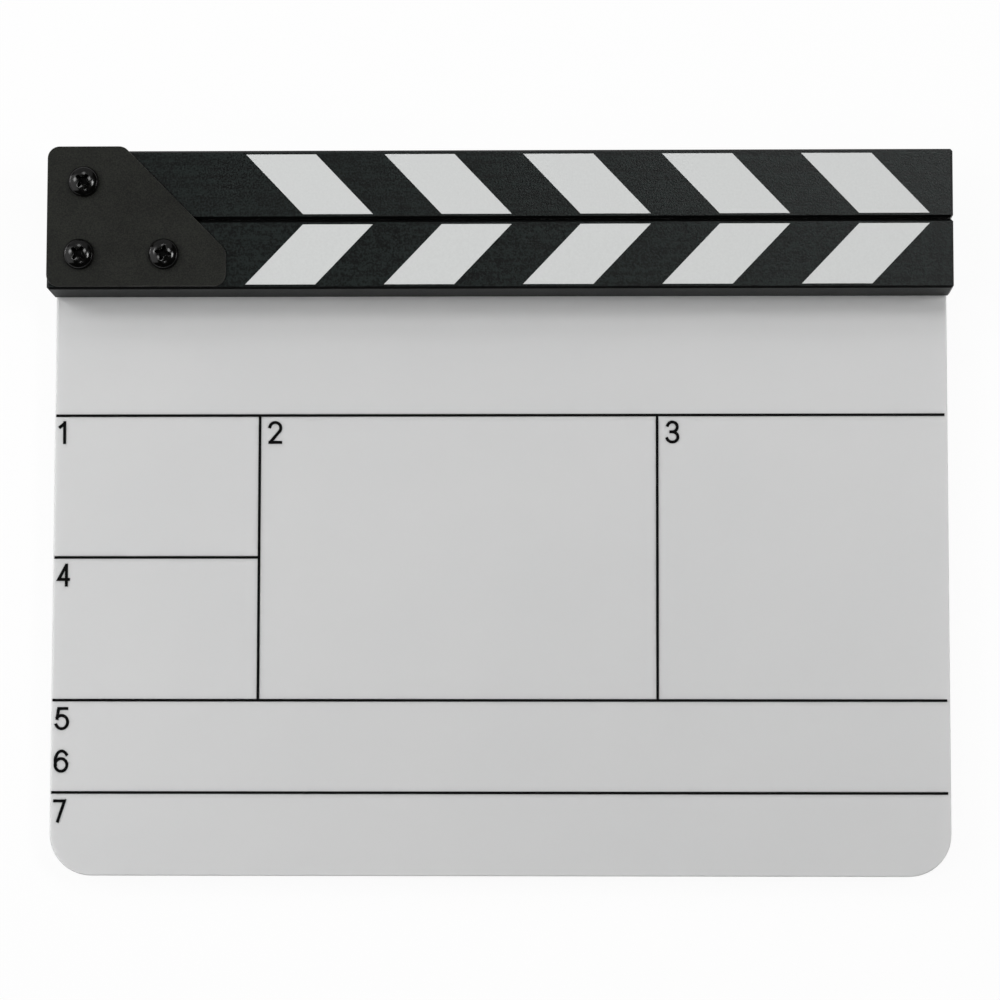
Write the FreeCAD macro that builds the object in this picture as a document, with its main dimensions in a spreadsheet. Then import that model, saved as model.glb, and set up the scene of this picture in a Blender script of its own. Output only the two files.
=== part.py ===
import FreeCAD
import Part
import Sketcher
import math
import os

# Film clapperboard, lying on its back.
# X runs along the sticks from the hinge end, Y from the panel up to the sticks, Z out of the writing face.
# The origin lies under the middle of the outline, level with the tips of the hinge screws.

# Driving dimensions in millimetres, except for the counts and the two turns, which are in degrees.
SIZES = {
    # Sticks
    "stick_length": 300.0,
    "stick_height": 22.9,
    "lower_stick_depth": 18.0,
    "stick_edge_chamfer": 0.7,
    "closing_gap": 0.7,
    "side_clearance": 0.3,
    # Writing panel, which laps behind the lower stick
    "panel_drop": 193.2,
    "panel_inset": 1.0,
    "panel_thickness": 3.0,
    "panel_corner_radius": 14.0,
    "panel_edge_break": 0.3,
    # Printed stripes and rules
    "film_thickness": 0.15,
    "stripe_lead": 6.4,
    "stripe_end_margin": 7.8,
    "stripe_margin": 1.4,
    "stripe_width": 23.2,
    "stripe_slant": 19.0,
    "stripe_count": 5,
    "rule_width": 0.9,
    "rule_start_margin": 0.4,
    "rule_end_margin": 1.0,
    "header_height": 40.0,
    "notes_height": 30.6,
    "footer_height": 27.4,
    "left_column": 68.8,
    "right_column": 96.6,
    # Hinge plates
    "plate_thickness": 1.2,
    "plate_width": 59.6,
    "plate_top_width": 25.4,
    "plate_side_height": 12.0,
    "plate_foot_margin": 0.8,
    "plate_head_margin": 1.3,
    "plate_corner_radius": 4.0,
    "plate_edge_radius": 0.25,
    # Places of the hinge screws, from the left end and the lower edge of their own stick
    "pivot_inset": 12.2,
    "pivot_height": 12.1,
    "plate_screw_inset": 10.9,
    "plate_screw_spacing": 28.1,
    "plate_screw_height": 11.4,
    # Hinge screws
    "screw_diameter": 5.0,
    "screw_length": 30.0,
    "screw_tip": 0.6,
    "screw_head_diameter": 10.3,
    "screw_head_height": 3.8,
    "screw_rim_height": 1.5,
    "screw_recess_span": 5.3,
    "screw_recess_wing": 1.4,
    "screw_recess_depth": 2.4,
    "screw_clearance": 0.1,
    "pivot_screw_turn": 52.0,
    "left_screw_turn": 50.0,
    "right_screw_turn": 76.0,
    # Pivot bearing
    "sleeve_diameter": 8.0,
    "running_clearance": 0.05,
    "friction_washer_diameter": 14.0,
    "friction_washer_thickness": 0.8,
    "friction_washer_clearance": 0.2,
    "friction_washer_play": 0.1,
    # Nuts and washers
    "washer_diameter": 10.0,
    "washer_thickness": 1.0,
    "nut_width": 8.0,
    "nut_height": 4.0,
    "locknut_hex_height": 3.4,
    "locknut_height": 5.0,
    "locknut_collar_diameter": 7.4,
    "locknut_insert_diameter": 6.4,
    "locknut_insert_height": 1.1,
    "locknut_insert_lip": 0.2,
    # Screws that hold the panel to the lower stick
    "panel_screw_count": 4,
    "panel_screw_lead": 30.4,
    "panel_screw_end_margin": 15.0,
    "panel_screw_height": 11.4,
    "panel_screw_diameter": 3.5,
    "panel_screw_length": 13.0,
    "panel_screw_tip": 1.2,
    "panel_screw_head_diameter": 7.0,
    "panel_screw_head_height": 2.6,
    "panel_screw_rim_height": 1.0,
    "panel_screw_recess_span": 4.0,
    "panel_screw_recess_wing": 1.0,
    "panel_screw_recess_depth": 1.6,
    "pilot_allowance": 0.5,
    "panel_washer_diameter": 9.0,
    "panel_washer_thickness": 0.8,
}

FULL_TURN = 360
HALF_TURN = 180
ACROSS = FreeCAD.Vector(1, 0, 0)
UPWARD = FreeCAD.Vector(0, 0, 1)

# Levels along Z
FRONT = "(sizes.screw_length - sizes.plate_thickness)"
BACK = f"({FRONT} - sizes.lower_stick_depth - sizes.panel_thickness)"
PLATE_BACK = f"({BACK} - sizes.plate_thickness)"
NUT_SEAT = f"({PLATE_BACK} - sizes.washer_thickness)"
UPPER_BACK = f"({BACK} + sizes.side_clearance)"
UPPER_DEPTH = "(sizes.lower_stick_depth + sizes.panel_thickness - 2 * sizes.side_clearance)"
WASHER_SEAT_DEPTH = "(sizes.friction_washer_thickness - sizes.side_clearance + sizes.friction_washer_play)"

# Levels along Y
STICKS_HEIGHT = "(2 * sizes.stick_height + sizes.closing_gap)"
BOTTOM = f"(-(sizes.panel_drop + {STICKS_HEIGHT} + sizes.plate_head_margin) / 2)"
FOOT = f"({BOTTOM} + sizes.panel_drop)"
UPPER_FOOT = f"({FOOT} + sizes.stick_height + sizes.closing_gap)"
PIVOT_Y = f"({UPPER_FOOT} + sizes.pivot_height)"
PLATE_FOOT = f"({FOOT} + sizes.plate_foot_margin)"
PLATE_HEIGHT = f"({STICKS_HEIGHT} + sizes.plate_head_margin - sizes.plate_foot_margin)"
PLATE_SCREW_Y = f"({FOOT} + sizes.plate_screw_height)"
PANEL_SCREW_Y = f"({FOOT} + sizes.panel_screw_height)"

# Places along X
LEFT = "(-sizes.stick_length / 2)"
PANEL_LEFT = f"({LEFT} + sizes.panel_inset)"
PANEL_WIDTH = "(sizes.stick_length - 2 * sizes.panel_inset)"
PIVOT_X = f"({LEFT} + sizes.pivot_inset)"
PLATE_SCREW_X = f"({LEFT} + sizes.plate_screw_inset)"
STRIPE_START = "(sizes.plate_width + sizes.stripe_lead)"
STRIPE_REACH = f"({STRIPE_START} + sizes.stripe_slant + sizes.stripe_width + sizes.stripe_end_margin)"
STRIPE_PITCH = f"((sizes.stick_length - {STRIPE_REACH}) / (sizes.stripe_count - 1))"
PANEL_SCREW_START = "(sizes.plate_width + sizes.panel_screw_lead)"
PANEL_SCREW_RUN = f"(sizes.stick_length - {PANEL_SCREW_START} - sizes.panel_screw_end_margin)"
PANEL_SCREW_PITCH = f"({PANEL_SCREW_RUN} / (sizes.panel_screw_count - 1))"

# Hole sizes
SCREW_HOLE = "(sizes.screw_diameter + 2 * sizes.screw_clearance)"
PANEL_SCREW_HOLE = "(sizes.panel_screw_diameter + 2 * sizes.screw_clearance)"
SLEEVE_HOLE = "(sizes.sleeve_diameter + 2 * sizes.running_clearance)"
WASHER_BORE = "(sizes.sleeve_diameter + 2 * sizes.friction_washer_clearance)"
WASHER_SEAT = "(sizes.friction_washer_diameter + 2 * sizes.friction_washer_clearance)"
PILOT_GRIP = "(sizes.panel_screw_length - sizes.panel_washer_thickness - sizes.panel_thickness)"
PILOT_DEPTH = f"({PILOT_GRIP} + sizes.pilot_allowance)"


def make_document():
    """Makes the document and the sheet that holds the driving dimensions."""
    document = FreeCAD.newDocument("clapperboard")
    sheet = document.addObject("Spreadsheet::Sheet", "sizes")
    for row, (alias, value) in enumerate(SIZES.items(), 1):
        sheet.set(f"A{row}", alias)
        sheet.set(f"B{row}", str(value))
        sheet.setAlias(f"B{row}", alias)
    document.recompute()
    return document


doc = make_document()


# Helpers for bodies, sketches and features


def place(item, x, y, z, axis=UPWARD, turn=0.0):
    """Binds the place of an object to the sheet, after an optional turn about an axis."""
    item.Placement = FreeCAD.Placement(FreeCAD.Vector(), FreeCAD.Rotation(axis, turn))
    for direction, level in (("x", x), ("y", y), ("z", z)):
        item.setExpression(f".Placement.Base.{direction}", level)


def new_body(label):
    """Adds an empty body, which may hold several separate solids."""
    body = doc.addObject("PartDesign::Body", label)
    body.Label = label
    body.AllowCompound = True
    return body


def new_sketch(body, name, role="XY_Plane", level=None):
    """Adds a sketch on one of the body's origin planes, or at a level above it."""
    plane = next(item for item in body.Origin.OriginFeatures if item.Role == role)
    sketch = body.newObject("Sketcher::SketchObject", name)
    sketch.AttachmentSupport = [(plane, "")]
    sketch.MapMode = "FlatFace"
    if level:
        sketch.setExpression(".AttachmentOffset.Base.z", level)
    return sketch


def bind(sketch, kind, *references, size):
    """Adds a dimension to a sketch and binds it to the sheet."""
    index = sketch.addConstraint(Sketcher.Constraint(kind, *references, 1.0))
    sketch.setExpression(f"Constraints[{index}]", size)


def add_outline(sketch, corners):
    """Draws a closed outline whose corners, taken anticlockwise, are bound to the sheet."""
    count = len(corners)
    turns = [2 * math.pi * step / count for step in range(count)]
    points = [FreeCAD.Vector(math.cos(turn), math.sin(turn), 0) for turn in turns]
    lines = [
        sketch.addGeometry(Part.LineSegment(points[step], points[(step + 1) % count]))
        for step in range(count)
    ]
    for step, (across, along) in enumerate(corners):
        sketch.addConstraint(Sketcher.Constraint("Coincident", lines[step - 1], 2, lines[step], 1))
        bind(sketch, "DistanceX", -1, 1, lines[step], 1, size=across)
        bind(sketch, "DistanceY", -1, 1, lines[step], 1, size=along)


def add_circle(sketch, diameter, x="0", y="0"):
    """Draws a circle whose diameter and centre are bound to the sheet."""
    circle = sketch.addGeometry(Part.Circle(FreeCAD.Vector(), UPWARD, 1.0))
    bind(sketch, "Diameter", circle, size=diameter)
    bind(sketch, "DistanceX", -1, 1, circle, 3, size=x)
    bind(sketch, "DistanceY", -1, 1, circle, 3, size=y)


def pad(body, sketch, length):
    """Extrudes a sketch along its normal."""
    feature = body.newObject("PartDesign::Pad", f"{sketch.Name}_pad")
    feature.Profile = sketch
    feature.setExpression("Length", length)
    doc.recompute()
    return feature


def pocket(body, sketch, depth=None, reverse=True, taper=0.0):
    """Cuts a sketch into the body, right through where no depth is given, and checks that it cut."""
    before = body.Shape.Volume
    feature = body.newObject("PartDesign::Pocket", f"{sketch.Name}_pocket")
    feature.Profile = sketch
    feature.Reversed = reverse
    feature.TaperAngle = taper
    if depth:
        feature.setExpression("Length", depth)
    else:
        feature.Type = "ThroughAll"
    doc.recompute()
    if not feature.Shape.Volume < before:
        raise RuntimeError(f"{feature.Name} cuts nothing")
    return feature


def revolve(body, sketch, kind="PartDesign::Revolution"):
    """Turns a sketch right round its vertical axis, as an addition or as a groove."""
    feature = body.newObject(kind, f"{sketch.Name}_turned")
    feature.Profile = sketch
    feature.ReferenceAxis = (sketch, ["V_Axis"])
    feature.Angle = FULL_TURN
    doc.recompute()
    return feature


def repeat(body, feature, pitch, count):
    """Repeats a feature along the horizontal axis of its own sketch."""
    pattern = body.newObject("PartDesign::LinearPattern", f"{feature.Name}_row")
    pattern.Originals = [feature]
    pattern.Direction = (feature.Profile[0], ["H_Axis"])
    pattern.Mode = "Spacing"
    pattern.setExpression("Offset", pitch)
    pattern.setExpression("Occurrences", count)
    body.Tip = pattern
    doc.recompute()
    return pattern


def round_edges(body, feature, radius, wanted, kind="Fillet"):
    """Rounds or chamfers the edges of a feature that pass a test."""
    names = [f"Edge{index}" for index, edge in enumerate(feature.Shape.Edges, 1) if wanted(edge)]
    dressing = body.newObject(f"PartDesign::{kind}", f"{feature.Name}_{kind.lower()}")
    dressing.Base = (feature, names)
    dressing.setExpression("Radius" if kind == "Fillet" else "Size", radius)
    doc.recompute()
    return dressing


def is_upright(edge):
    """Tells whether an edge is straight and parallel to Z."""
    ends = [vertex.Point for vertex in edge.Vertexes]
    return len(ends) == 2 and (ends[1] - ends[0]).getAngle(UPWARD) in (0.0, math.pi)


def is_level(edge):
    """Tells whether an edge lies flat, at one height."""
    return edge.BoundBox.ZLength < edge.Length / 1000


def compound(label, members):
    """Groups separate solids of the same kind as one sub-part."""
    group = doc.addObject("Part::Compound", label)
    group.Label = label
    group.Links = members
    return group


# Panel and its printed rules


def make_writing_panel():
    """Acrylic sheet with rounded lower corners and the holes for all the screws that pass it."""
    body = new_body("writing_panel")
    outline = new_sketch(body, "panel_outline")
    top = "sizes.panel_drop + sizes.stick_height"
    add_outline(outline, [("0", "0"), (PANEL_WIDTH, "0"), (PANEL_WIDTH, top), ("0", top)])
    sheet = pad(body, outline, "sizes.panel_thickness")
    middle = sheet.Shape.BoundBox.Center.y
    corners = round_edges(
        body, sheet, "sizes.panel_corner_radius",
        lambda edge: is_upright(edge) and edge.CenterOfMass.y < middle,
    )
    round_edges(body, corners, "sizes.panel_edge_break", is_level, kind="Chamfer")
    holes = new_sketch(body, "panel_plate_holes")
    first = "sizes.plate_screw_inset - sizes.panel_inset"
    height = "sizes.panel_drop + sizes.plate_screw_height"
    add_circle(holes, SCREW_HOLE, first, height)
    add_circle(holes, SCREW_HOLE, f"{first} + sizes.plate_screw_spacing", height)
    pocket(body, holes)
    row = new_sketch(body, "panel_screw_holes")
    start = f"{PANEL_SCREW_START} - sizes.panel_inset"
    add_circle(row, PANEL_SCREW_HOLE, start, "sizes.panel_drop + sizes.panel_screw_height")
    repeat(body, pocket(body, row), PANEL_SCREW_PITCH, "sizes.panel_screw_count")
    place(body, PANEL_LEFT, BOTTOM, BACK)
    return body


def make_rule(name, x, y, length, height):
    """One straight printed rule on the panel's face, from its lower left corner."""
    rule = doc.addObject("Part::Box", name)
    rule.setExpression("Length", length)
    rule.setExpression("Width", height)
    rule.setExpression("Height", "sizes.film_thickness")
    place(rule, x, y, f"{BACK} + sizes.panel_thickness")
    return rule


def make_form_rules():
    """Printed grid of the slate: three boxes in a row, the first split in two, over two long lines."""
    half = "sizes.rule_width / 2"
    start = f"({PANEL_LEFT} + sizes.rule_start_margin)"
    run = f"({PANEL_WIDTH} - sizes.rule_start_margin - sizes.rule_end_margin)"
    footer = f"({BOTTOM} + sizes.footer_height)"
    notes = f"({footer} + sizes.notes_height)"
    header = f"({FOOT} - sizes.header_height)"
    split = f"(({header} + {notes}) / 2)"
    first = f"({PANEL_LEFT} + sizes.left_column)"
    second = f"({PANEL_LEFT} + {PANEL_WIDTH} - sizes.right_column)"
    rise = f"({header} - {notes})"
    rules = [
        make_rule("header_rule", start, f"{header} - {half}", run, "sizes.rule_width"),
        make_rule("notes_rule", start, f"{notes} - {half}", run, "sizes.rule_width"),
        make_rule("footer_rule", start, f"{footer} - {half}", run, "sizes.rule_width"),
        make_rule("split_rule", start, f"{split} - {half}", f"{first} - {start}", "sizes.rule_width"),
        make_rule("first_column_rule", f"{first} - {half}", notes, "sizes.rule_width", rise),
        make_rule("second_column_rule", f"{second} - {half}", notes, "sizes.rule_width", rise),
    ]
    grid = doc.addObject("Part::MultiFuse", "form_rules")
    grid.Label = "form_rules"
    grid.Shapes = rules
    grid.Refine = True
    return grid


# Clapsticks and their stripes


def make_lower_stick():
    """Fixed stick with through holes for the hinge screws and pilot holes for the panel screws."""
    body = new_body("lower_stick")
    outline = new_sketch(body, "lower_outline")
    length = "sizes.stick_length"
    height = "sizes.stick_height"
    add_outline(outline, [("0", "0"), (length, "0"), (length, height), ("0", height)])
    bar = pad(body, outline, "sizes.lower_stick_depth")
    round_edges(body, bar, "sizes.stick_edge_chamfer", lambda edge: True, kind="Chamfer")
    holes = new_sketch(body, "lower_plate_holes")
    add_circle(holes, SCREW_HOLE, "sizes.plate_screw_inset", "sizes.plate_screw_height")
    second = "sizes.plate_screw_inset + sizes.plate_screw_spacing"
    add_circle(holes, SCREW_HOLE, second, "sizes.plate_screw_height")
    pocket(body, holes)
    row = new_sketch(body, "lower_pilot_holes")
    add_circle(row, PANEL_SCREW_HOLE, PANEL_SCREW_START, "sizes.panel_screw_height")
    repeat(body, pocket(body, row, PILOT_DEPTH), PANEL_SCREW_PITCH, "sizes.panel_screw_count")
    place(body, LEFT, FOOT, f"{BACK} + sizes.panel_thickness")
    return body


def draw_upper_outline(sketch):
    """Outline of the moving stick about its pivot: a quarter-round heel, then a square toe above it."""
    # Rough corners, which the dimensions below bring to size
    heel_low = FreeCAD.Vector(0, -1, 0)
    end_low = FreeCAD.Vector(9, -1, 0)
    end_high = FreeCAD.Vector(9, 1, 0)
    toe_high = FreeCAD.Vector(-1, 1, 0)
    heel_left = FreeCAD.Vector(-1, 0, 0)
    foot = sketch.addGeometry(Part.LineSegment(heel_low, end_low))
    end = sketch.addGeometry(Part.LineSegment(end_low, end_high))
    top = sketch.addGeometry(Part.LineSegment(end_high, toe_high))
    toe = sketch.addGeometry(Part.LineSegment(toe_high, heel_left))
    round_about = Part.Circle(FreeCAD.Vector(), UPWARD, 1.0)
    heel = sketch.addGeometry(Part.ArcOfCircle(round_about, math.pi, 1.5 * math.pi))
    joins = [(foot, 2, end, 1), (end, 2, top, 1), (top, 2, toe, 1), (toe, 2, heel, 1), (heel, 2, foot, 1)]
    for join in joins:
        sketch.addConstraint(Sketcher.Constraint("Coincident", *join))
    sketch.addConstraint(Sketcher.Constraint("Coincident", heel, 3, -1, 1))
    sketch.addConstraint(Sketcher.Constraint("PointOnObject", heel, 1, -1))
    sketch.addConstraint(Sketcher.Constraint("PointOnObject", heel, 2, -2))
    sketch.addConstraint(Sketcher.Constraint("Horizontal", foot))
    sketch.addConstraint(Sketcher.Constraint("Vertical", end))
    sketch.addConstraint(Sketcher.Constraint("Horizontal", top))
    sketch.addConstraint(Sketcher.Constraint("Vertical", toe))
    bind(sketch, "Radius", heel, size="sizes.pivot_height")
    bind(sketch, "DistanceX", -1, 1, end, 1, size="sizes.stick_length - sizes.pivot_inset")
    bind(sketch, "DistanceY", -1, 1, top, 1, size="sizes.stick_height - sizes.pivot_height")


def make_upper_stick():
    """Moving stick, drawn about its pivot, bored for the sleeve and recessed for the friction washers."""
    body = new_body("upper_stick")
    outline = new_sketch(body, "upper_outline")
    draw_upper_outline(outline)
    bar = pad(body, outline, UPPER_DEPTH)
    # The heel runs smoothly into the foot and the toe, so there is no corner to chamfer at its two ends
    toe = bar.Shape.BoundBox.XMin

    def is_corner(edge):
        at = edge.CenterOfMass
        at_heel_end = abs(at.x) < 0.01 or (abs(at.x - toe) < 0.01 and abs(at.y) < 0.01)
        return not (is_upright(edge) and at_heel_end)

    round_edges(body, bar, "sizes.stick_edge_chamfer", is_corner, kind="Chamfer")
    bore = new_sketch(body, "upper_bore")
    add_circle(bore, SLEEVE_HOLE)
    pocket(body, bore)
    back_seat = new_sketch(body, "back_washer_seat")
    add_circle(back_seat, WASHER_SEAT)
    pocket(body, back_seat, WASHER_SEAT_DEPTH)
    front_seat = new_sketch(body, "front_washer_seat", level=UPPER_DEPTH)
    add_circle(front_seat, WASHER_SEAT)
    pocket(body, front_seat, WASHER_SEAT_DEPTH, reverse=False)
    place(body, PIVOT_X, PIVOT_Y, UPPER_BACK)
    return body


def make_stripes(label, foot, level, low_shift, high_shift):
    """Row of slanted stripes on the face of a stick, shifted along X at their lower and upper edges."""
    body = new_body(label)
    outline = new_sketch(body, f"{label}_outline")
    height = "sizes.stick_height - 2 * sizes.stripe_margin"
    add_outline(outline, [
        (low_shift, "0"),
        (f"{low_shift} + sizes.stripe_width", "0"),
        (f"{high_shift} + sizes.stripe_width", height),
        (high_shift, height),
    ])
    stripe = pad(body, outline, "sizes.film_thickness")
    repeat(body, stripe, STRIPE_PITCH, "sizes.stripe_count")
    place(body, f"{LEFT} + {STRIPE_START}", f"{foot} + sizes.stripe_margin", level)
    return body


def make_all_stripes():
    """Stripes of both sticks, which meet at the gap as arrowheads that point away from the hinge."""
    lower = make_stripes("lower_stripes", FOOT, FRONT, "0", "sizes.stripe_slant")
    face = f"({UPPER_BACK} + {UPPER_DEPTH})"
    upper = make_stripes("upper_stripes", UPPER_FOOT, face, "sizes.stripe_slant", "0")
    return [lower, upper]


# Hinge


def make_hinge_plate(label, level):
    """Steel plate with one slanted side, rounded corners and a hole for each hinge screw."""
    body = new_body(label)
    outline = new_sketch(body, f"{label}_outline")
    add_outline(outline, [
        ("0", "0"),
        ("sizes.plate_width", "0"),
        ("sizes.plate_width", "sizes.plate_side_height"),
        ("sizes.plate_top_width", PLATE_HEIGHT),
        ("0", PLATE_HEIGHT),
    ])
    sheet = pad(body, outline, "sizes.plate_thickness")
    corners = round_edges(body, sheet, "sizes.plate_corner_radius", is_upright)
    round_edges(body, corners, "sizes.plate_edge_radius", is_level)
    holes = new_sketch(body, f"{label}_holes")
    low = "sizes.plate_screw_height - sizes.plate_foot_margin"
    high = f"{PIVOT_Y} - {PLATE_FOOT}"
    add_circle(holes, SCREW_HOLE, "sizes.plate_screw_inset", low)
    add_circle(holes, SCREW_HOLE, "sizes.plate_screw_inset + sizes.plate_screw_spacing", low)
    add_circle(holes, SCREW_HOLE, "sizes.pivot_inset", high)
    pocket(body, holes)
    place(body, LEFT, PLATE_FOOT, level)
    return body


def make_ring(label, diameter, bore, height):
    """Washer or tube that stands on its origin."""
    body = new_body(label)
    section = new_sketch(body, f"{label}_section")
    add_circle(section, diameter)
    add_circle(section, bore)
    pad(body, section, height)
    return body


def draw_screw_section(sketch, prefix):
    """Half section of a screw: a chamfered shank below the origin and a domed head above it."""
    # Rough corners, which the dimensions below bring to size
    rough = [(0, 3), (0, -9), (1, -9), (2, -8), (2, 0), (4, 0), (4, 1)]
    points = [FreeCAD.Vector(x, y, 0) for x, y in rough]
    lines = [sketch.addGeometry(Part.LineSegment(*pair)) for pair in zip(points, points[1:])]
    axis, tip, chamfer, shank, seat, rim = lines
    dome_middle = FreeCAD.Vector(2.4, 2.4, 0)
    dome = sketch.addGeometry(Part.Arc(points[-1], dome_middle, points[0]))
    for first, second in zip(lines, lines[1:]):
        sketch.addConstraint(Sketcher.Constraint("Coincident", first, 2, second, 1))
    sketch.addConstraint(Sketcher.Constraint("Coincident", rim, 2, dome, 1))
    sketch.addConstraint(Sketcher.Constraint("Coincident", dome, 2, axis, 1))
    sketch.addConstraint(Sketcher.Constraint("PointOnObject", dome, 3, -2))
    radius = f"{prefix}_diameter / 2"
    length = f"-{prefix}_length"
    head = f"{prefix}_head_diameter / 2"
    corners = [
        (axis, "0", f"{prefix}_head_height"),
        (tip, "0", length),
        (chamfer, f"{radius} - {prefix}_tip", length),
        (shank, radius, f"{length} + {prefix}_tip"),
        (seat, radius, "0"),
        (rim, head, "0"),
    ]
    for line, across, along in corners:
        bind(sketch, "DistanceX", -1, 1, line, 1, size=across)
        bind(sketch, "DistanceY", -1, 1, line, 1, size=along)
    bind(sketch, "DistanceX", -1, 1, rim, 2, size=head)
    bind(sketch, "DistanceY", -1, 1, rim, 2, size=f"{prefix}_rim_height")


def make_screw(label, prefix):
    """Pan head screw with a cross recess that narrows as it goes in; its head stands on the origin."""
    recess_taper = -8.0
    body = new_body(label)
    section = new_sketch(body, f"{label}_section", role="XZ_Plane")
    draw_screw_section(section, prefix)
    revolve(body, section)
    reach = f"{prefix}_recess_span / 2"
    wing = f"{prefix}_recess_wing / 2"
    cross = new_sketch(body, f"{label}_recess", level=f"{prefix}_head_height")
    add_outline(cross, [
        (reach, f"-{wing}"), (reach, wing), (wing, wing),
        (wing, reach), (f"-{wing}", reach), (f"-{wing}", wing),
        (f"-{reach}", wing), (f"-{reach}", f"-{wing}"), (f"-{wing}", f"-{wing}"),
        (f"-{wing}", f"-{reach}"), (wing, f"-{reach}"), (wing, f"-{wing}"),
    ])
    pocket(body, cross, f"{prefix}_recess_depth", reverse=False, taper=recess_taper)
    return body


def add_hexagon(sketch):
    """Draws the outline of a nut, with two of its flats along X."""
    flat = "sizes.nut_width / 2"
    corner = "sizes.nut_width / sqrt(3)"
    half = f"{corner} / 2"
    add_outline(sketch, [
        (corner, "0"), (half, flat), (f"-{half}", flat),
        (f"-{corner}", "0"), (f"-{half}", f"-{flat}"), (half, f"-{flat}"),
    ])


def bevel_nut(body, label, height):
    """Takes the corners off the two faces of a hexagon at 30 degrees."""
    inner = "sizes.nut_width / 2"
    outer = "sizes.nut_width / sqrt(3)"
    drop = f"({outer} - {inner}) / sqrt(3)"
    section = new_sketch(body, f"{label}_bevel", role="XZ_Plane")
    add_outline(section, [(inner, "0"), (outer, "0"), (outer, drop)])
    add_outline(section, [(inner, height), (outer, f"{height} - {drop}"), (outer, height)])
    revolve(body, section, kind="PartDesign::Groove")


def make_nut(label):
    """Plain hex nut that stands on its origin."""
    body = new_body(label)
    outline = new_sketch(body, f"{label}_outline")
    add_hexagon(outline)
    pad(body, outline, "sizes.nut_height")
    bevel_nut(body, label, "sizes.nut_height")
    bore = new_sketch(body, f"{label}_bore")
    add_circle(bore, SCREW_HOLE)
    pocket(body, bore)
    return body


def make_locknut():
    """Lock nut with a round collar that holds a nylon ring."""
    body = new_body("pivot_locknut")
    outline = new_sketch(body, "locknut_outline")
    add_hexagon(outline)
    pad(body, outline, "sizes.locknut_hex_height")
    bevel_nut(body, "locknut", "sizes.locknut_hex_height")
    collar = new_sketch(body, "locknut_collar")
    add_circle(collar, "sizes.locknut_collar_diameter")
    pad(body, collar, "sizes.locknut_height")
    bore = new_sketch(body, "locknut_bore")
    add_circle(bore, SCREW_HOLE)
    pocket(body, bore)
    seat = new_sketch(body, "locknut_insert_seat", level="sizes.locknut_height")
    add_circle(seat, "sizes.locknut_insert_diameter")
    pocket(body, seat, "sizes.locknut_insert_height + sizes.locknut_insert_lip", reverse=False)
    place(body, PIVOT_X, PIVOT_Y, NUT_SEAT, ACROSS, HALF_TURN)
    return body


def make_pivot():
    """Pivot screw with its sleeve, friction washers, washer and lock nut, from the front to the back."""
    screw = make_screw("pivot_screw", "sizes.screw")
    place(screw, PIVOT_X, PIVOT_Y, "sizes.screw_length", UPWARD, SIZES["pivot_screw_turn"])
    stack = f"{FRONT} - {BACK}"
    sleeve = make_ring("pivot_sleeve", "sizes.sleeve_diameter", SCREW_HOLE, stack)
    place(sleeve, PIVOT_X, PIVOT_Y, BACK)
    pieces = [screw, sleeve]
    seats = {
        "front_friction_washer": f"{UPPER_BACK} + {UPPER_DEPTH} - {WASHER_SEAT_DEPTH}",
        "back_friction_washer": f"{BACK} + sizes.friction_washer_play",
    }
    for label, level in seats.items():
        ring = make_ring(label, "sizes.friction_washer_diameter", WASHER_BORE, "sizes.friction_washer_thickness")
        place(ring, PIVOT_X, PIVOT_Y, level)
        pieces.append(ring)
    washer = make_ring("pivot_washer", "sizes.washer_diameter", SCREW_HOLE, "sizes.washer_thickness")
    place(washer, PIVOT_X, PIVOT_Y, NUT_SEAT)
    insert_height = "sizes.locknut_insert_height"
    insert = make_ring("locknut_insert", "sizes.locknut_insert_diameter", SCREW_HOLE, insert_height)
    insert_level = f"{NUT_SEAT} - sizes.locknut_height + sizes.locknut_insert_lip"
    place(insert, PIVOT_X, PIVOT_Y, insert_level)
    return pieces + [washer, make_locknut(), insert]


def make_plate_fasteners():
    """Two screws through the plates and the lower stick, with a washer and a nut at the back of each."""
    screws = []
    washers = []
    nuts = []
    sides = {"left": PLATE_SCREW_X, "right": f"{PLATE_SCREW_X} + sizes.plate_screw_spacing"}
    for side, x in sides.items():
        screw = make_screw(f"{side}_plate_screw", "sizes.screw")
        place(screw, x, PLATE_SCREW_Y, "sizes.screw_length", UPWARD, SIZES[f"{side}_screw_turn"])
        screws.append(screw)
        label = f"{side}_plate_washer"
        washer = make_ring(label, "sizes.washer_diameter", SCREW_HOLE, "sizes.washer_thickness")
        place(washer, x, PLATE_SCREW_Y, NUT_SEAT)
        washers.append(washer)
        nut = make_nut(f"{side}_plate_nut")
        place(nut, x, PLATE_SCREW_Y, f"{NUT_SEAT} - sizes.nut_height")
        nuts.append(nut)
    return [
        compound("plate_screws", screws),
        compound("plate_washers", washers),
        compound("plate_nuts", nuts),
    ]


def make_panel_fasteners():
    """Row of short screws and washers that hold the panel against the lower stick from the back."""
    screws = []
    washers = []
    seat = f"{BACK} - sizes.panel_washer_thickness"
    for step in range(SIZES["panel_screw_count"]):
        x = f"{LEFT} + {PANEL_SCREW_START} + {step} * {PANEL_SCREW_PITCH}"
        screw = make_screw(f"panel_screw_{step + 1}", "sizes.panel_screw")
        place(screw, x, PANEL_SCREW_Y, seat, ACROSS, HALF_TURN)
        screws.append(screw)
        label = f"panel_washer_{step + 1}"
        washer = make_ring(label, "sizes.panel_washer_diameter", PANEL_SCREW_HOLE, "sizes.panel_washer_thickness")
        place(washer, x, PANEL_SCREW_Y, seat)
        washers.append(washer)
    return [compound("panel_screws", screws), compound("panel_washers", washers)]


# Checks and files


def check_document():
    """Stops if any object of the document failed to compute."""
    doc.recompute()
    for item in doc.Objects:
        if "Invalid" in item.State or "Error" in item.State:
            raise RuntimeError(f"{item.Label} failed: {item.State}")


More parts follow.
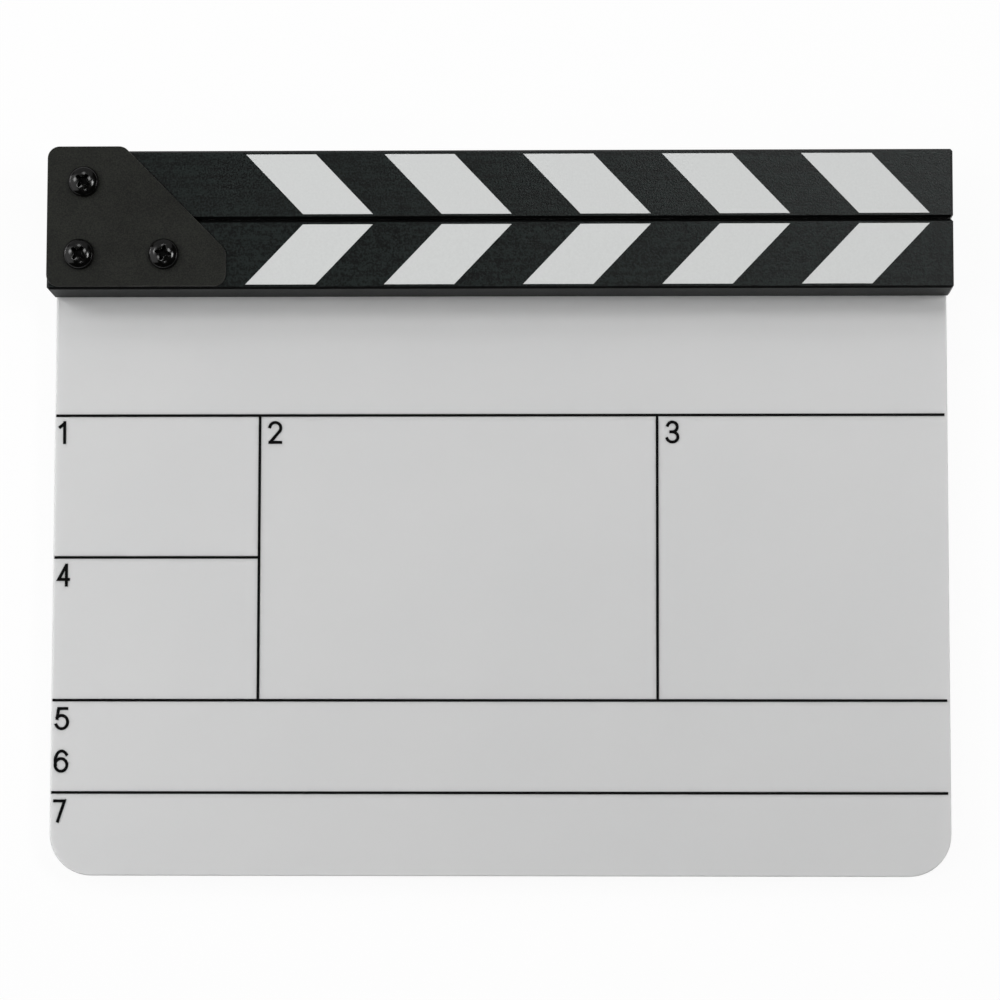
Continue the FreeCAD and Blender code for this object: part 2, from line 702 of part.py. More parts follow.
def write_parts(pieces):
    """Checks each sub-part's shape and writes it to its own file."""
    for piece in pieces:
        if piece.Shape.isNull() or not piece.Shape.isValid():
            raise RuntimeError(f"{piece.Label} has no valid shape")
    os.makedirs("parts", exist_ok=True)
    for piece in pieces:
        piece.Shape.exportStep(f"parts/{piece.Label}.step")
        print(f"{piece.Label}: {len(piece.Shape.Solids)} solids, {piece.Shape.Volume:.1f} mm3")


def main():
    """Builds every sub-part, then checks and writes them."""
    pieces = [make_writing_panel(), make_form_rules(), make_lower_stick(), make_upper_stick()]
    pieces += make_all_stripes()
    pieces += [make_hinge_plate("front_hinge_plate", FRONT), make_hinge_plate("back_hinge_plate", PLATE_BACK)]
    pieces += make_pivot()
    pieces += make_plate_fasteners()
    pieces += make_panel_fasteners()
    check_document()
    write_parts(pieces)


main()
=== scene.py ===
"""Clapperboard lying on a pale studio floor: finishes, printed numbers, threaded screws, light and camera."""

import logging
import math
from abc import ABC, abstractmethod
from dataclasses import dataclass
from enum import Enum

import bmesh
import bpy
from mathutils import Matrix, Vector


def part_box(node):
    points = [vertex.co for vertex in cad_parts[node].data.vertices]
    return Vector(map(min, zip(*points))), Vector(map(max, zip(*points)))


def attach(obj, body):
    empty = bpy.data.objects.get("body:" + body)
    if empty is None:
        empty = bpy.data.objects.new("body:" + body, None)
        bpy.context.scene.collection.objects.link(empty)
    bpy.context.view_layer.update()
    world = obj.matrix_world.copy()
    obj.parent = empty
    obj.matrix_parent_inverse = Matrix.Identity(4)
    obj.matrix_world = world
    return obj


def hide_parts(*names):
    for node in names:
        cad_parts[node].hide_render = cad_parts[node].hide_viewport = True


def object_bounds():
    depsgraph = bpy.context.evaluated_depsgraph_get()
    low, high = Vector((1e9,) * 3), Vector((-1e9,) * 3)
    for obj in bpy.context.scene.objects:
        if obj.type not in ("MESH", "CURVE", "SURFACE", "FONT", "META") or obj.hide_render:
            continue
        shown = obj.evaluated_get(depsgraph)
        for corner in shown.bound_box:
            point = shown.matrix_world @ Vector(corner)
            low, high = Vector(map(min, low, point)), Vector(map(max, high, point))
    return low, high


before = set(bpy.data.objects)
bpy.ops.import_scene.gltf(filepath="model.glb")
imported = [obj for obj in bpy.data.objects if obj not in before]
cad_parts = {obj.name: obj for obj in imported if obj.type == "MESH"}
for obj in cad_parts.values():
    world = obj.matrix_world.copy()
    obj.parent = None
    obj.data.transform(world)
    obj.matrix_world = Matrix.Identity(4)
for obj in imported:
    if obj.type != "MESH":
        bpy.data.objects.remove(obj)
CAD_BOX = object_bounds()

LOG = logging.getLogger("clapperboard")
MM = 0.001
Colour = tuple[float, float, float]
Point = tuple[float, float, float]
Span = tuple[float, float]


class Body(Enum):
    """Rigid bodies that a piece can ride on."""

    SLATE = "slate"
    CLAPSTICK = "clapstick"


class Slot(Enum):
    """Material slots of the record."""

    ACRYLIC = "opal_acrylic"
    BLACK_PRINT = "black_print"
    LACQUER = "black_wood"
    WHITE_PRINT = "white_print"
    PLATE = "black_plate"
    SCREW = "black_screw"
    STEEL = "bright_steel"
    NYLON = "nylon"


class Facing(Enum):
    """Side of the board that a screw's head is on, as the sign of its direction along Z."""

    FRONT = 1
    BACK = -1


@dataclass(frozen=True)
class Speckle:
    """Sparse round specks, such as dust or pinholes: at most one per cell of a grid; in millimetres."""

    spacing: float
    radius: float
    share: float

    CORE = 0.5
    SHARE_STEP = 0.001


class ShaderGraph:
    """Node tree of one material, with short calls for the patterns that the finishes share."""

    NOISE: Span = (0.3, 0.7)
    UNIT: Span = (0.0, 1.0)
    MIX_FACTOR = 0
    MIX_FIRST = 6
    MIX_SECOND = 7
    MIX_RESULT = 2

    def __init__(self, name: str) -> None:
        """Starts a material that holds one Principled shader."""
        self.material = bpy.data.materials.new(name)
        self.material.use_nodes = True
        nodes = self.material.node_tree.nodes
        self.shader = nodes["Principled BSDF"]
        self.output = nodes["Material Output"]
        self.place = self.add("ShaderNodeTexCoord")

    def add(self, kind: str, **settings: object) -> bpy.types.Node:
        """Adds a node.

        Args:
            kind: Blender's name of the node type.
            settings: Properties to set on the node.

        Returns:
            The new node.
        """
        node = self.material.node_tree.nodes.new(kind)
        for name, value in settings.items():
            setattr(node, name, value)
        return node

    def link(self, source: bpy.types.NodeSocket, target: bpy.types.NodeSocket) -> None:
        """Joins an output socket to an input socket."""
        self.material.node_tree.links.new(source, target)

    def fix(self, **constants: object) -> None:
        """Sets constants on the Principled shader.

        Args:
            constants: Values by socket name, with underscores for the spaces.
        """
        for name, value in constants.items():
            self.shader.inputs[name.replace("_", " ")].default_value = value

    def drive(self, socket: str, source: bpy.types.NodeSocket) -> None:
        """Feeds a pattern into an input of the Principled shader."""
        self.link(source, self.shader.inputs[socket])

    def noise(
        self, size: float, stretch: Point = (1.0, 1.0, 1.0), detail: float = 3.0, shift: float = 0.0
    ) -> bpy.types.NodeSocket:
        """Cloudy noise fixed to the piece.

        Args:
            size: Width of a blob, in millimetres.
            stretch: How many times longer the blobs are along X, Y and Z.
            detail: Number of finer octaves.
            shift: Offset that tells two noises of one size apart.

        Returns:
            Socket with values of about 0.3 to 0.7.
        """
        mapping = self.add("ShaderNodeMapping")
        mapping.inputs["Location"].default_value = (shift, shift, shift)
        mapping.inputs["Scale"].default_value = [1.0 / (size * MM * times) for times in stretch]
        self.link(self.place.outputs["Object"], mapping.inputs["Vector"])
        noise = self.add("ShaderNodeTexNoise")
        noise.inputs["Scale"].default_value = 1.0
        noise.inputs["Detail"].default_value = detail
        self.link(mapping.outputs["Vector"], noise.inputs["Vector"])
        return noise.outputs["Fac"]

    def remap(self, source: bpy.types.NodeSocket, given: Span, wanted: Span = UNIT) -> bpy.types.NodeSocket:
        """Stretches a range of values onto another and clamps it.

        Args:
            source: Values to change.
            given: First and last value that is read.
            wanted: What those two become.

        Returns:
            Socket with the changed values.
        """
        node = self.add("ShaderNodeMapRange", clamp=True)
        for name, value in zip(("From Min", "From Max", "To Min", "To Max"), (*given, *wanted)):
            node.inputs[name].default_value = value
        self.link(source, node.inputs["Value"])
        return node.outputs["Result"]

    def combine(
        self, operation: str, first: bpy.types.NodeSocket, second: bpy.types.NodeSocket
    ) -> bpy.types.NodeSocket:
        """Works out a Math node of two patterns.

        Args:
            operation: Blender's name of the operation.
            first: First pattern.
            second: Second pattern.

        Returns:
            Socket with the result.
        """
        node = self.add("ShaderNodeMath", operation=operation)
        self.link(first, node.inputs[0])
        self.link(second, node.inputs[1])
        return node.outputs["Value"]

    def shade(self, factor: bpy.types.NodeSocket, first: Colour, second: Colour) -> bpy.types.NodeSocket:
        """Mixes two colours by a pattern.

        Args:
            factor: Pattern from 0 to 1.
            first: Colour where the pattern is 0.
            second: Colour where the pattern is 1.

        Returns:
            Socket with the mixed colour.
        """
        node = self.add("ShaderNodeMix", data_type="RGBA")
        node.inputs[self.MIX_FIRST].default_value = (*first, 1.0)
        node.inputs[self.MIX_SECOND].default_value = (*second, 1.0)
        self.link(factor, node.inputs[self.MIX_FACTOR])
        return node.outputs[self.MIX_RESULT]

    def overlay(
        self, factor: bpy.types.NodeSocket, under: bpy.types.NodeSocket, over: Colour
    ) -> bpy.types.NodeSocket:
        """Lays a colour over a pattern of colours.

        Args:
            factor: Cover of the upper colour, from 0 to 1.
            under: Colours below it.
            over: Upper colour.

        Returns:
            Socket with the resulting colour.
        """
        node = self.add("ShaderNodeMix", data_type="RGBA")
        self.link(under, node.inputs[self.MIX_FIRST])
        node.inputs[self.MIX_SECOND].default_value = (*over, 1.0)
        self.link(factor, node.inputs[self.MIX_FACTOR])
        return node.outputs[self.MIX_RESULT]

    def specks(self, pattern: Speckle) -> bpy.types.NodeSocket:
        """Scatters round specks over the piece.

        Args:
            pattern: Size and number of the specks.

        Returns:
            Socket that is 1 on a speck and 0 elsewhere.
        """
        cells = self.add("ShaderNodeTexVoronoi")
        cells.inputs["Scale"].default_value = 1.0 / (pattern.spacing * MM)
        self.link(self.place.outputs["Object"], cells.inputs["Vector"])
        reach = pattern.radius / pattern.spacing
        dot = self.remap(cells.outputs["Distance"], (pattern.CORE * reach, reach), (1.0, 0.0))
        split = self.add("ShaderNodeSeparateColor")
        self.link(cells.outputs["Color"], split.inputs["Color"])
        limits = (pattern.share, pattern.share + pattern.SHARE_STEP)
        chosen = self.remap(split.outputs["Red"], limits, (1.0, 0.0))
        return self.combine("MULTIPLY", dot, chosen)

    def slope(self, axes: str, flatness: Span) -> bpy.types.NodeSocket:
        """Finds the rounded edges of a piece, where the surface faces none of the given axes.

        Args:
            axes: Letters of the axes that flat faces look along.
            flatness: Share of an axis up to which an edge counts in full, and from which a face is flat.

        Returns:
            Socket that is 1 on edges and 0 on flat faces.
        """
        split = self.add("ShaderNodeSeparateXYZ")
        self.link(self.place.outputs["Normal"], split.inputs["Vector"])
        most = None
        for axis in axes:
            size = self.add("ShaderNodeMath", operation="ABSOLUTE")
            self.link(split.outputs[axis], size.inputs[0])
            share = size.outputs["Value"]
            most = share if most is None else self.combine("MAXIMUM", most, share)
        return self.remap(most, flatness, (1.0, 0.0))

    def emboss(self, *layers: tuple[bpy.types.NodeSocket, float]) -> None:
        """Chains bumps into the shader's normal.

        Args:
            layers: Pairs of a height pattern and its depth in millimetres.
        """
        normal = None
        for height, depth in layers:
            bump = self.add("ShaderNodeBump")
            bump.inputs["Distance"].default_value = depth * MM
            self.link(height, bump.inputs["Height"])
            if normal is not None:
                self.link(normal, bump.inputs["Normal"])
            normal = bump.outputs["Normal"]
        self.drive("Normal", normal)


class Finish(ABC):
    """Surface finish that makes one material."""

    @abstractmethod
    def build(self) -> bpy.types.Material:
        """Makes the material."""


@dataclass(frozen=True)
class OpalAcrylic(Finish):
    """Milky sheet with polished faces, faint clouds and a haze of fine wiping marks."""

    colour: Colour = (0.640, 0.641, 0.641)
    cloud: Colour = (0.632, 0.634, 0.635)
    cloud_size: float = 45.0
    cloud_span: Span = (0.35, 0.65)
    gloss: Span = (0.34, 0.42)
    wipe_size: float = 0.5
    wipe_stretch: Point = (26.0, 1.0, 1.0)
    wipe_depth: float = 0.001
    body_weight: float = 1.0
    body_radius: Colour = (1.0, 1.0, 1.0)
    body_depth: float = 2.5

    def build(self) -> bpy.types.Material:
        """Makes the material."""
        graph = ShaderGraph("opal_acrylic_sheet")
        clouds = graph.remap(graph.noise(self.cloud_size), self.cloud_span)
        graph.drive("Base Color", graph.shade(clouds, self.colour, self.cloud))
        wipes = graph.noise(self.wipe_size, self.wipe_stretch, detail=2.0)
        graph.drive("Roughness", graph.remap(wipes, graph.NOISE, self.gloss))
        graph.fix(
            Subsurface_Weight=self.body_weight,
            Subsurface_Radius=self.body_radius,
            Subsurface_Scale=self.body_depth * MM,
        )
        graph.emboss((wipes, self.wipe_depth))
        return graph.material


@dataclass(frozen=True)
class Lacquer(Finish):
    """Satin black lacquer over fine-grained wood, mottled and streaky, with painted shade darkening the
    chamfers, and dust.
    """

    name: str
    shine: float
    colour: Colour = (0.0000, 0.0008, 0.0006)
    pale: Colour = (0.0060, 0.0104, 0.0094)
    # Painted shade: near-black colour laid over the chamfers and rounded edges so that they render dark.
    painted_chamfer_shade: Colour = (0.0004, 0.0005, 0.0005)
    dust: Colour = (0.03, 0.03, 0.03)
    mottle_size: float = 0.62
    cloud_size: float = 2.6
    grain_size: float = 0.35
    grain_stretch: Point = (40.0, 1.0, 1.0)
    streak_size: float = 1.5
    streak_stretch: Point = (24.0, 1.0, 1.0)
    cloud_tone: Span = (-0.06, 0.06)
    streak_tone: Span = (-0.08, 0.08)
    tone_span: Span = (0.41, 0.61)
    edge_flatness: Span = (0.80, 0.985)
    side_flatness: Span = (0.5, 0.9)
    specks: Speckle = Speckle(spacing=7.0, radius=0.16, share=0.22)
    gloss: Span = (0.29, 0.41)
    side_gloss: float = 0.58
    mottle_depth: float = 0.060
    grain_depth: float = 0.004

    def build(self) -> bpy.types.Material:
        """Makes the material."""
        graph = ShaderGraph(self.name)
        mottle = graph.noise(self.mottle_size, detail=2.0)
        clouds = graph.noise(self.cloud_size, detail=2.0, shift=8.3)
        grain = graph.noise(self.grain_size, self.grain_stretch, detail=2.0, shift=3.7)
        streaks = graph.noise(self.streak_size, self.streak_stretch, detail=3.0, shift=5.9)
        cloudy = graph.remap(clouds, graph.NOISE, self.cloud_tone)
        streaky = graph.remap(streaks, graph.NOISE, self.streak_tone)
        drift = graph.combine("ADD", cloudy, streaky)
        tone = graph.remap(graph.combine("ADD", mottle, drift), self.tone_span)
        edges = graph.slope("XYZ", self.edge_flatness)
        # Painted shade: the chamfers and rounded edges take the near-black colour in place of the mottle.
        paint = graph.overlay(edges, graph.shade(tone, self.colour, self.pale), self.painted_chamfer_shade)
        graph.drive("Base Color", graph.overlay(graph.specks(self.specks), paint, self.dust))
        sides = graph.remap(graph.slope("Y", self.side_flatness), graph.UNIT, (self.side_gloss, 0.0))
        satin = graph.remap(mottle, graph.NOISE, self.gloss)
        graph.drive("Roughness", graph.combine("MAXIMUM", satin, sides))
        graph.fix(Specular_IOR_Level=self.shine)
        graph.emboss((grain, self.grain_depth), (mottle, self.mottle_depth))
        return graph.material


@dataclass(frozen=True)
class PrintFilm(Finish):
    """Screen-printed ink with slight pinholes and a matt, faintly uneven surface."""

    name: str
    ink: Colour
    thin: Colour
    gloss: Span
    shine: float
    ink_size: float = 0.7
    ink_depth: float = 0.004
    cover_span: Span = (0.32, 0.68)
    pinholes: Speckle = Speckle(spacing=3.0, radius=0.10, share=0.10)

    def build(self) -> bpy.types.Material:
        """Makes the material."""
        graph = ShaderGraph(self.name)
        cover = graph.noise(self.ink_size, detail=4.0)
        tone = graph.remap(cover, self.cover_span, (1.0, 0.0))
        pinholes = graph.specks(self.pinholes)
        graph.drive("Base Color", graph.overlay(pinholes, graph.shade(tone, self.ink, self.thin), self.thin))
        graph.drive("Roughness", graph.remap(cover, graph.NOISE, self.gloss))
        graph.fix(Specular_IOR_Level=self.shine)
        graph.emboss((cover, self.ink_depth))
        return graph.material


@dataclass(frozen=True)
class PlateCoating(Finish):
    """Smooth black coating on sheet steel: fine orange peel, cloudy tone, and paler edges that are partly
    rubbed coating and partly a painted edge highlight.
    """

    colour: Colour = (0.0004, 0.0005, 0.0000)
    pale: Colour = (0.0092, 0.0104, 0.0066)
    # Paler edge colour: partly rubbed coating, partly a painted highlight along the plate's edges.
    rubbed: Colour = (0.050, 0.050, 0.045)
    dust: Colour = (0.03, 0.03, 0.03)
    cloud_size: float = 9.0
    peel_size: float = 0.42
    peel_depth: float = 0.012
    cloud_tone: Span = (-0.04, 0.04)
    tone_span: Span = (0.36, 0.64)
    edge_flatness: Span = (0.75, 0.985)
    rub_span: Span = (0.35, 0.6)
    rub_and_highlight_cover: Span = (0.35, 1.0)
    specks: Speckle = Speckle(spacing=9.0, radius=0.14, share=0.15)
    gloss: Span = (0.40, 0.45)
    shine: float = 0.22

    def build(self) -> bpy.types.Material:
        """Makes the material."""
        graph = ShaderGraph("black_plate_coating")
        clouds = graph.noise(self.cloud_size, detail=5.0)
        peel = graph.noise(self.peel_size, detail=2.0, shift=1.9)
        cloudy = graph.remap(clouds, graph.NOISE, self.cloud_tone)
        grit = graph.remap(graph.combine("ADD", peel, cloudy), self.tone_span)
        tone = graph.shade(grit, self.colour, self.pale)
        edges = graph.slope("Z", self.edge_flatness)
        # Paler colour on the edges in cloudy patches: partly rubbed coating, partly a painted edge highlight.
        rub = graph.combine("MULTIPLY", edges, graph.remap(clouds, self.rub_span, self.rub_and_highlight_cover))
        paint = graph.overlay(rub, tone, self.rubbed)
        graph.drive("Base Color", graph.overlay(graph.specks(self.specks), paint, self.dust))
        graph.drive("Roughness", graph.remap(clouds, graph.NOISE, self.gloss))
        graph.fix(Specular_IOR_Level=self.shine)
        graph.emboss((peel, self.peel_depth))
        return graph.material


@dataclass(frozen=True)
class BlackPlating(Finish):
    """Black zinc on screws, nuts and washers, with rub marks that show a little metal."""

    name: str
    colour: Colour
    rubbed: Colour
    gloss: Span
    shine: float
    rub_size: float = 1.6
    rub_span: Span = (0.5, 0.75)
    pit_size: float = 0.5
    pit_depth: float = 0.002

    def build(self) -> bpy.types.Material:
        """Makes the material."""
        graph = ShaderGraph(self.name)
        rub = graph.noise(self.rub_size, detail=4.0)
        pits = graph.noise(self.pit_size, detail=2.0, shift=5.1)
        graph.drive("Base Color", graph.shade(graph.remap(rub, self.rub_span), self.colour, self.rubbed))
        graph.drive("Roughness", graph.remap(rub, graph.NOISE, self.gloss))
        graph.fix(Specular_IOR_Level=self.shine)
        graph.emboss((pits, self.pit_depth))
        return graph.material


@dataclass(frozen=True)
class TurnedSteel(Finish):
    """Bright steel with fine turning marks round its axis."""

    colour: Colour = (0.55, 0.55, 0.54)
    dull: Colour = (0.42, 0.42, 0.41)
    mark_size: float = 0.12
    mark_stretch: Point = (60.0, 60.0, 1.0)
    mark_depth: float = 0.004
    mark_span: Span = (0.35, 0.65)
    gloss: Span = (0.22, 0.38)

    def build(self) -> bpy.types.Material:
        """Makes the material."""
        graph = ShaderGraph("turned_sleeve_steel")
        marks = graph.noise(self.mark_size, self.mark_stretch, detail=2.0)
        graph.drive("Base Color", graph.shade(graph.remap(marks, self.mark_span), self.colour, self.dull))
        graph.drive("Roughness", graph.remap(marks, graph.NOISE, self.gloss))
        graph.fix(Metallic=1.0)
        graph.emboss((marks, self.mark_depth))
        return graph.material


@dataclass(frozen=True)
class NaturalNylon(Finish):
    """Ivory nylon, waxy and a little cloudy."""

    colour: Colour = (0.72, 0.71, 0.66)
    cloud: Colour = (0.66, 0.65, 0.59)
    cloud_size: float = 2.5
    cloud_span: Span = (0.35, 0.65)
    gloss: Span = (0.40, 0.55)
    body_weight: float = 0.3
    body_depth: float = 0.8
    grain_size: float = 0.2
    grain_depth: float = 0.006

    def build(self) -> bpy.types.Material:
        """Makes the material."""
        graph = ShaderGraph("natural_nylon")
        clouds = graph.noise(self.cloud_size)
        graph.drive("Base Color", graph.shade(graph.remap(clouds, self.cloud_span), self.colour, self.cloud))
        graph.drive("Roughness", graph.remap(clouds, graph.NOISE, self.gloss))
        graph.fix(Subsurface_Weight=self.body_weight, Subsurface_Scale=self.body_depth * MM)
        graph.emboss((graph.noise(self.grain_size, shift=2.3), self.grain_depth))
        return graph.material


class PaintShop:
    """Holds the materials of each slot and puts them on CAD nodes and new pieces."""

    FINISHES: dict[Slot, Finish] = {
        Slot.ACRYLIC: OpalAcrylic(),
        Slot.BLACK_PRINT: PrintFilm(
            "black_form_ink", (0.0010, 0.0010, 0.0010), (0.0025, 0.0025, 0.0025), (0.55, 0.68), shine=0.05,
        ),
        Slot.WHITE_PRINT: PrintFilm(
            "white_stripe_ink", (0.600, 0.612, 0.606), (0.57, 0.58, 0.575), (0.50, 0.64), shine=0.30,
        ),
        Slot.PLATE: PlateCoating(),
        Slot.SCREW: BlackPlating(
            "black_zinc_plating", (0.0014, 0.0014, 0.0012), (0.0034, 0.0033, 0.0030), (0.12, 0.20),
            shine=0.30,
        ),
        Slot.STEEL: TurnedSteel(),
        Slot.NYLON: NaturalNylon(),
    }
    # Darker, duller plating on the faces inside the cross recess: painted shade, so that the recess renders
    # black.
    RECESS_SHADE_FINISHES: dict[Slot, Finish] = {
        Slot.SCREW: BlackPlating(
            "painted_recess_shade", (0.0008, 0.0008, 0.0008), (0.0016, 0.0016, 0.0016), (0.55, 0.65),
            shine=0.06,
        ),
    }

    def __init__(self) -> None:
        """Makes every material once."""
        self.materials = {slot: finish.build() for slot, finish in self.FINISHES.items()}
        self.recess_shades = {slot: finish.build() for slot, finish in self.RECESS_SHADE_FINISHES.items()}

    def dress(self, node: str, slot: Slot, own: Finish | None = None) -> None:
        """Puts a finish on a CAD node.

        Args:
            node: Name of the node.
            slot: Slot whose finish it takes.
            own: Finish of this node alone, in place of the slot's.
        """
        material = own.build() if own else self.materials[slot]
        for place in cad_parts[node].material_slots:
            place.material = material
        LOG.info("dressed %s in %s", node, slot.value)

    def mount(self, name: str, mesh: bpy.types.Mesh, slot: Slot, body: Body, stands_for: str = "") -> None:
        """Makes a piece of a mesh and seats it on a body.

        Args:
            name: Name of the piece.
            mesh: Its mesh, in metres in the CAD frame, with the recess faces that take the painted recess
                shade at material index 1.
            slot: Slot whose finish it takes.
            body: Body that it rides on.
            stands_for: CAD node that it replaces, if any.
        """
        mesh.materials.append(self.materials[slot])
        # Recess faces at index 1 take the darker, duller plating: painted shade inside the recess.
        if slot in self.recess_shades:
            mesh.materials.append(self.recess_shades[slot])
        piece = bpy.data.objects.new(name, mesh)
        bpy.context.scene.collection.objects.link(piece)
        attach(piece, body.value)
        if stands_for:
            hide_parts(stands_for)
        LOG.info("made %s with %d faces on %s", name, len(mesh.polygons), body.value)


def smooth_by_angle(mesh: bpy.types.Mesh, degrees: float) -> None:
    """Shades a mesh smooth, apart from edges sharper than an angle."""
    mesh.shade_smooth()
    mesh.set_sharp_from_angle(angle=math.radians(degrees))


def baked_mesh(item: bpy.types.Object) -> bpy.types.Mesh:
    """Turns an object that isn't in the scene for good into a plain mesh.

    Args:
        item: Object with its modifiers or its text, which is removed.

    Returns:
        Mesh of what it showed.
    """
    bpy.context.view_layer.update()
    shown = item.evaluated_get(bpy.context.evaluated_depsgraph_get())
    mesh = bpy.data.meshes.new_from_object(shown)
    bpy.data.objects.remove(item)
    return mesh


def loose_object(name: str, data: bpy.types.ID) -> bpy.types.Object:
    """Links a helper object into the scene."""
    item = bpy.data.objects.new(name, data)
    bpy.context.scene.collection.objects.link(item)
    return item


@dataclass(frozen=True)
class PanScrew:
    """Pan head screw with a rolled thread and a cross recess, its head seated at height 0; in millimetres."""

    shank_diameter: float
    length: float
    tip_length: float
    tip_diameter: float
    pitch: float
    thread_length: float
    thread_depth: float
    head_diameter: float
    head_height: float
    rim_height: float
    recess_span: float
    recess_wing: float
    recess_depth: float

    SIDES = 40
    RINGS_PER_TURN = 8
    VALLEY_WIDTH = 1.35
    VALLEY_SLOPE = 3.4
    HEAD_SIDES = 72
    DOME_RINGS = 12
    DOME_POWER = 2.25
    EDGE_BREAK = 0.10
    WING_STEPS = 5
    CORNER_EASE = 0.35
    # Recess punch at its floor, shoulder and mouth: shares of span, wing and depth, and a rise in millimetres.
    FLOOR_SPAN, FLOOR_WING = 0.60, 0.85
    SHOULDER_DEPTH, SHOULDER_SPAN = 0.84, 0.98
    MOUTH_RISE, MOUTH_SPAN, MOUTH_WING = 0.2, 1.05, 1.06
    RECESS_BREAK = 0.18
    BREAK_STEPS = 2
    BREAK_ANGLE = 40.0
    SMOOTH_ANGLE = 38.0

    def _shank_radius(self, height: float, turn: float) -> float:
        """Radius of the shank.

        Args:
            height: Height along the axis, 0 at the seat and negative towards the tip.
            turn: Place round the axis, from 0 to 1.

        Returns:
            Radius, thread and tip included.
        """
        radius = self.shank_diameter / 2
        above_tip = height + self.length
        runout = min(max((self.thread_length - above_tip) / self.pitch, 0.0), 1.0)
        phase = (above_tip / self.pitch - turn) % 1.0
        valley = min(max(self.VALLEY_WIDTH - self.VALLEY_SLOPE * abs(phase - 0.5), 0.0), 1.0)
        radius -= self.thread_depth * valley * runout
        tip = min(above_tip / self.tip_length, 1.0)
        cone = self.tip_diameter / 2 + (self.shank_diameter - self.tip_diameter) / 2 * tip
        return min(radius, cone)

    def _add_shank(self, mesh: bmesh.types.BMesh) -> None:
        """Adds the shank as a closed skin of rings, close together where the thread is.

        Args:
            mesh: Mesh that receives it.
        """
        step = self.pitch / self.RINGS_PER_TURN
        count = round((self.thread_length + self.pitch) / step)
        heights = [index * step - self.length for index in range(count + 1)] + [0.0]
        rings = []
        for height in heights:
            ring = []
            for side in range(self.SIDES):
                turn = side / self.SIDES
                radius = self._shank_radius(height, turn)
                angle = math.tau * turn
                ring.append(mesh.verts.new((radius * math.cos(angle), radius * math.sin(angle), height)))
            rings.append(ring)
        self._skin(mesh, rings)

    def _add_head(self, mesh: bmesh.types.BMesh) -> None:
        """Adds the head as a closed lathed skin: flat seat, upright rim and dome.

        Args:
            mesh: Mesh that receives it.
        """
        radius = self.head_diameter / 2
        rise = self.head_height - self.rim_height
        section = [(radius - self.EDGE_BREAK, 0.0), (radius, self.EDGE_BREAK)]
        for index in range(self.DOME_RINGS + 1):
            angle = 0.5 * math.pi * index / (self.DOME_RINGS + 0.5)
            out = math.cos(angle) ** (2 / self.DOME_POWER)
            up = math.sin(angle) ** (2 / self.DOME_POWER)
            section.append((radius * out, self.rim_height + rise * up))
        rings = []
        for out, height in section:
            ring = []
            for side in range(self.HEAD_SIDES):
                angle = math.tau * side / self.HEAD_SIDES
                ring.append(mesh.verts.new((out * math.cos(angle), out * math.sin(angle), height)))
            rings.append(ring)
        self._skin(mesh, rings)

    @staticmethod
    def _skin(mesh: bmesh.types.BMesh, rings: list[list[bmesh.types.BMVert]]) -> None:
        """Joins rings of points into a skin and closes both ends.

        Args:
            mesh: Mesh that holds the points.
            rings: Rings from the lowest to the highest, with as many points each.
        """
        for below, above in zip(rings, rings[1:]):
            for side, start in enumerate(below):
                after = (side + 1) % len(below)
                mesh.faces.new((start, below[after], above[after], above[side]))
        mesh.faces.new(list(reversed(rings[0])))
        mesh.faces.new(rings[-1])

    def _recess_outline(self, span: float, wing: float) -> list[Span]:
        """Draws a cross with rounded wing ends and eased inner corners.

        Args:
            span: Width over two wings.
            wing: Width of a wing.

        Returns:
            Points of the outline, in order.
        """
        half, reach = wing / 2, span / 2
        ease = self.CORNER_EASE * wing
        points = []
        for quarter in range(4):
            turn = Matrix.Rotation(0.5 * math.pi * quarter, 2)
            local = [Vector((half + ease, -half)), Vector((reach - half, -half))]
            for step in range(1, self.WING_STEPS):
                angle = math.pi * (step / self.WING_STEPS - 0.5)
                local.append(Vector((reach - half + half * math.cos(angle), half * math.sin(angle))))
            local += [Vector((reach - half, half)), Vector((half + ease, half))]
            points += [tuple(turn @ point) for point in local]
        return points

    def _recess_tool(self) -> bpy.types.Mesh:
        """Shapes the punch that leaves the recess, wide above and narrow below.

        Returns:
            Closed mesh of the punch.
        """
        span, wing, depth = self.recess_span, self.recess_wing, self.recess_depth
        floor = self.head_height - depth
        levels = (
            (floor, span * self.FLOOR_SPAN, wing * self.FLOOR_WING),
            (floor + self.SHOULDER_DEPTH * depth, span * self.SHOULDER_SPAN, wing),
            (self.head_height + self.MOUTH_RISE, span * self.MOUTH_SPAN, wing * self.MOUTH_WING),
        )
        tool = bmesh.new()
        rings = []
        for height, span, wing in levels:
            rings.append([tool.verts.new((x, y, height)) for x, y in self._recess_outline(span, wing)])
        self._skin(tool, rings)
        # Faces left by the punch take material index 1, the painted shade inside the recess.
        for face in tool.faces:
            face.material_index = 1
        mesh = bpy.data.meshes.new("recess_tool")
        tool.to_mesh(mesh)
        tool.free()
        return mesh

